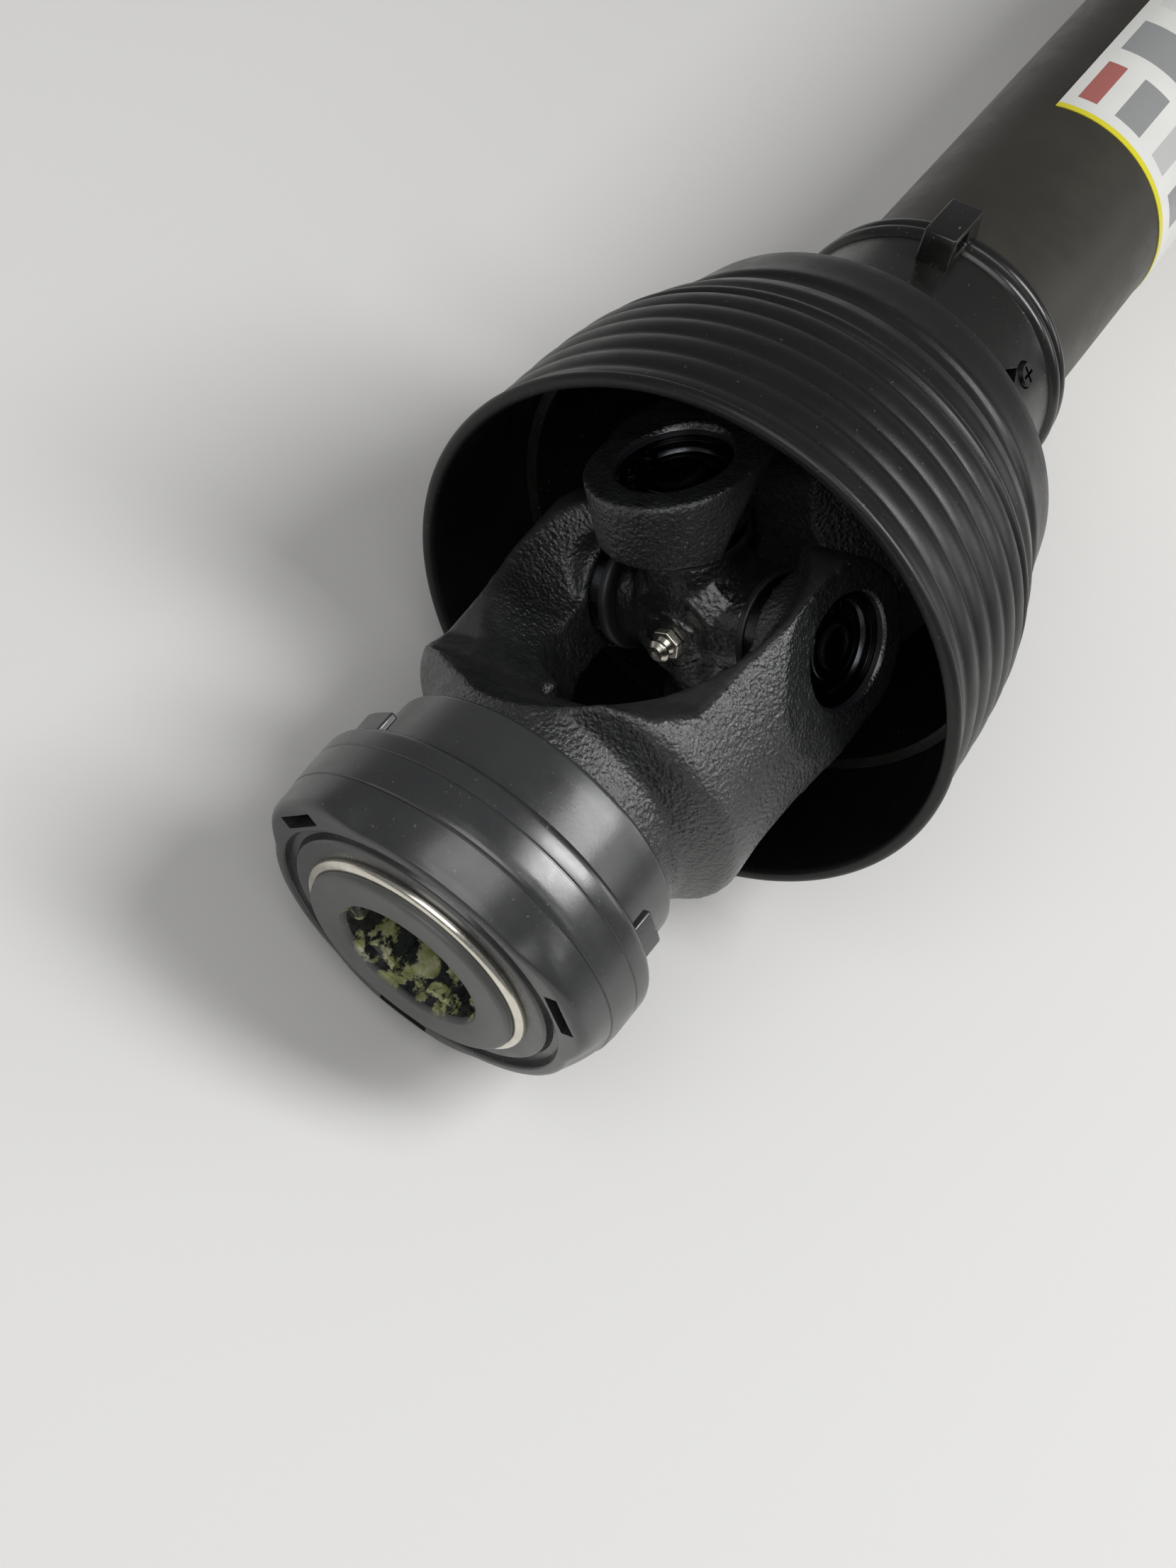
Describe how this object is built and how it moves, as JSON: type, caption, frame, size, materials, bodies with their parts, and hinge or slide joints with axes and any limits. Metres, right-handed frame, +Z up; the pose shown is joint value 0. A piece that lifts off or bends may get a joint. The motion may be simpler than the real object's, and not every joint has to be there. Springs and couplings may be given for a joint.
{
  "type": "pto drive shaft",
  "caption": "Telescoping guarded drive shaft with universal joints inside ribbed cones and a splined quick-release coupling at each end.",
  "frame": {"origin": "centre of the bounding box at floor level, midway between the two joint centres", "axes": "+X along the shaft from end A (wide guard tube) to end B, +Z up from the floor"},
  "size_m": [0.8934, 0.14, 0.1401],
  "materials": {
    "collar_plastic": "satin moulded plastic",
    "bright_wire": "bright drawn wire",
    "spring_steel": "plain spring steel",
    "ball_steel": "polished",
    "yoke_paint": "thin black paint over a rough forging",
    "cross_steel": "dark case-hardened steel",
    "nipple_steel": "zinc plated",
    "cup_steel": "ground",
    "seal_rubber": "moulded",
    "clip_steel": "phosphated",
    "tube_steel": "drawn",
    "bearing_nylon": "natural nylon",
    "cone_plastic": "soft ribbed plastic",
    "base_plastic": "smooth hard plastic",
    "screw_steel": "zinc plated",
    "tube_plastic": "extruded",
    "label_film": "printed film, plain"
  },
  "bodies": {
    "half_a": {"shaft_yoke_a": "yoke_paint", "cups_inner_a": "cup_steel", "needles_inner_a": "ball_steel", "seals_inner_a": "seal_rubber", "circlips_inner_a": "clip_steel", "roll_pin_a": "clip_steel", "drive_tube_a": "tube_steel"},
    "guard_a": {"guard_bearing_a": "bearing_nylon", "guard_cone_a": "cone_plastic", "guard_base_a": "base_plastic", "guard_screws_a": "screw_steel", "guard_tube_a": "tube_plastic", "label_a": "label_film"},
    "joint_cross_a": {"cross_a": "cross_steel", "grease_nipple_a": "nipple_steel"},
    "coupling_a": {"clutch_yoke_a": "yoke_paint", "cups_outer_a": "cup_steel", "needles_outer_a": "ball_steel", "seals_outer_a": "seal_rubber", "circlips_outer_a": "clip_steel", "collar_ring_a": "bright_wire", "collar_spring_a": "spring_steel"},
    "lock_a": {"collar_a": "collar_plastic"},
    "ball_a1": {"lock_ball_a1": "ball_steel"},
    "ball_a2": {"lock_ball_a2": "ball_steel"},
    "ball_a3": {"lock_ball_a3": "ball_steel"},
    "half_b": {"shaft_yoke_b": "yoke_paint", "cups_inner_b": "cup_steel", "needles_inner_b": "ball_steel", "seals_inner_b": "seal_rubber", "circlips_inner_b": "clip_steel", "roll_pin_b": "clip_steel", "drive_tube_b": "tube_steel"},
    "guard_b": {"guard_bearing_b": "bearing_nylon", "guard_cone_b": "cone_plastic", "guard_base_b": "base_plastic", "guard_screws_b": "screw_steel", "guard_tube_b": "tube_plastic"},
    "joint_cross_b": {"cross_b": "cross_steel", "grease_nipple_b": "nipple_steel"},
    "coupling_b": {"clutch_yoke_b": "yoke_paint", "cups_outer_b": "cup_steel", "needles_outer_b": "ball_steel", "seals_outer_b": "seal_rubber", "circlips_outer_b": "clip_steel", "collar_ring_b": "bright_wire", "collar_spring_b": "spring_steel"},
    "lock_b": {"collar_b": "collar_plastic"},
    "ball_b1": {"lock_ball_b1": "ball_steel"},
    "ball_b2": {"lock_ball_b2": "ball_steel"},
    "ball_b3": {"lock_ball_b3": "ball_steel"}
  },
  "joints": [
    {"name": "guard_turn_a", "type": "hinge", "parent": "half_a", "child": "guard_a", "pos_m": [-0.242, 0, 0.07], "axis": [1, 0, 0], "continuous": true},
    {"name": "cross_swing_a", "type": "hinge", "parent": "half_a", "child": "joint_cross_a", "pos_m": [-0.33, 0, 0.07], "axis": [0, 0.6494, 0.7604], "range_deg": [-15.29, 34.71]},
    {"name": "coupling_swing_a", "type": "hinge", "parent": "joint_cross_a", "child": "coupling_a", "pos_m": [-0.33, 0, 0.07], "axis": [0.1687, 0.7495, -0.6401], "range_deg": [-13.83, 36.17]},
    {"name": "collar_pull_a", "type": "slide", "parent": "coupling_a", "child": "lock_a", "axis": [-0.967, 0, -0.2548], "range_m": [-0.0065, 0], "stiffness_N_per_m": 4000, "springref_m": 0.004, "deforming": ["collar_spring_a"]},
    {"name": "ball_lift_a1", "type": "slide", "parent": "coupling_a", "child": "ball_a1", "axis": [0.155, 0.7939, -0.588], "range_m": [0, 0.00205]},
    {"name": "ball_lift_a2", "type": "slide", "parent": "coupling_a", "child": "ball_a2", "axis": [0.0977, -0.9236, -0.3708], "range_m": [0, 0.00205]},
    {"name": "ball_lift_a3", "type": "slide", "parent": "coupling_a", "child": "ball_a3", "axis": [-0.2527, 0.1297, 0.9588], "range_m": [0, 0.00205]},
    {"name": "telescope", "type": "slide", "parent": "half_a", "child": "half_b", "axis": [1, 0, 0], "range_m": [-0.03, 0.2]},
    {"name": "guard_turn_b", "type": "hinge", "parent": "half_b", "child": "guard_b", "pos_m": [0.242, 0, 0.07], "axis": [1, 0, 0], "continuous": true},
    {"name": "cross_swing_b", "type": "hinge", "parent": "half_b", "child": "joint_cross_b", "pos_m": [0.33, 0, 0.07], "axis": [0, 0.6494, 0.7604], "range_deg": [-34.71, 15.29]},
    {"name": "coupling_swing_b", "type": "hinge", "parent": "joint_cross_b", "child": "coupling_b", "pos_m": [0.33, 0, 0.07], "axis": [-0.1687, 0.7495, -0.6401], "range_deg": [-36.17, 13.83]},
    {"name": "collar_pull_b", "type": "slide", "parent": "coupling_b", "child": "lock_b", "axis": [0.967, 0, -0.2548], "range_m": [-0.0065, 0], "stiffness_N_per_m": 4000, "springref_m": 0.004, "deforming": ["collar_spring_b"]},
    {"name": "ball_lift_b1", "type": "slide", "parent": "coupling_b", "child": "ball_b1", "axis": [-0.155, 0.7939, -0.588], "range_m": [0, 0.00205]},
    {"name": "ball_lift_b2", "type": "slide", "parent": "coupling_b", "child": "ball_b2", "axis": [-0.0977, -0.9236, -0.3708], "range_m": [0, 0.00205]},
    {"name": "ball_lift_b3", "type": "slide", "parent": "coupling_b", "child": "ball_b3", "axis": [0.2527, 0.1297, 0.9588], "range_m": [0, 0.00205]}
  ],
  "couplings": [
    {"joint": "ball_lift_a1", "follows": "collar_pull_a", "ratio": -0.30769},
    {"joint": "ball_lift_a2", "follows": "collar_pull_a", "ratio": -0.30769},
    {"joint": "ball_lift_a3", "follows": "collar_pull_a", "ratio": -0.30769},
    {"joint": "ball_lift_b1", "follows": "collar_pull_b", "ratio": -0.30769},
    {"joint": "ball_lift_b2", "follows": "collar_pull_b", "ratio": -0.30769},
    {"joint": "ball_lift_b3", "follows": "collar_pull_b", "ratio": -0.30769}
  ]
}
